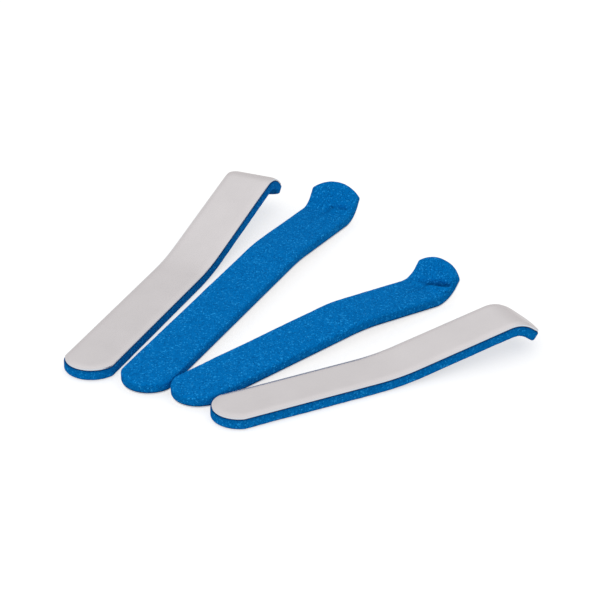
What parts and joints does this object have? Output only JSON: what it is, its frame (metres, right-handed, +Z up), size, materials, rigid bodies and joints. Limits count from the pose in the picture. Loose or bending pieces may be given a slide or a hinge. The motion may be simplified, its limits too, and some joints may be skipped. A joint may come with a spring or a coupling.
{
  "type": "finger splint set",
  "caption": "Padded finger splints laid in a fan: bent aluminium strips with rounded ends, each faced with blue foam that cushions the finger it holds still.",
  "frame": {"origin": "on the table under the middle of the first splint's flat hand end", "axes": "+Z up from the table that the splints lie on, +Y away from the viewer, +X to the right across the fan"},
  "size_m": [0.1736, 0.1898, 0.0165],
  "materials": {
    "aluminium_strip": "satin, rolled sheet with sheared edges",
    "adhesive_film": "matt acrylic transfer adhesive",
    "blue_foam": "matt open-cell polyurethane foam"
  },
  "bodies": {
    "splint_1": {"splint_1_metal_strip": "aluminium_strip", "splint_1_adhesive_film": "adhesive_film", "splint_1_foam_pad": "blue_foam"},
    "splint_2": {"splint_2_metal_strip": "aluminium_strip", "splint_2_adhesive_film": "adhesive_film", "splint_2_foam_pad": "blue_foam"},
    "splint_3": {"splint_3_metal_strip": "aluminium_strip", "splint_3_adhesive_film": "adhesive_film", "splint_3_foam_pad": "blue_foam"},
    "splint_4": {"splint_4_metal_strip": "aluminium_strip", "splint_4_adhesive_film": "adhesive_film", "splint_4_foam_pad": "blue_foam"}
  },
  "joints": [
    {"name": "splint_2_lift", "type": "slide", "parent": "splint_1", "child": "splint_2", "axis": [0, 0, 1], "range_m": [0, 0.06]},
    {"name": "splint_3_lift", "type": "slide", "parent": "splint_1", "child": "splint_3", "axis": [0, 0, 1], "range_m": [0, 0.06]},
    {"name": "splint_4_lift", "type": "slide", "parent": "splint_1", "child": "splint_4", "axis": [0, 0, 1], "range_m": [0, 0.06]}
  ]
}
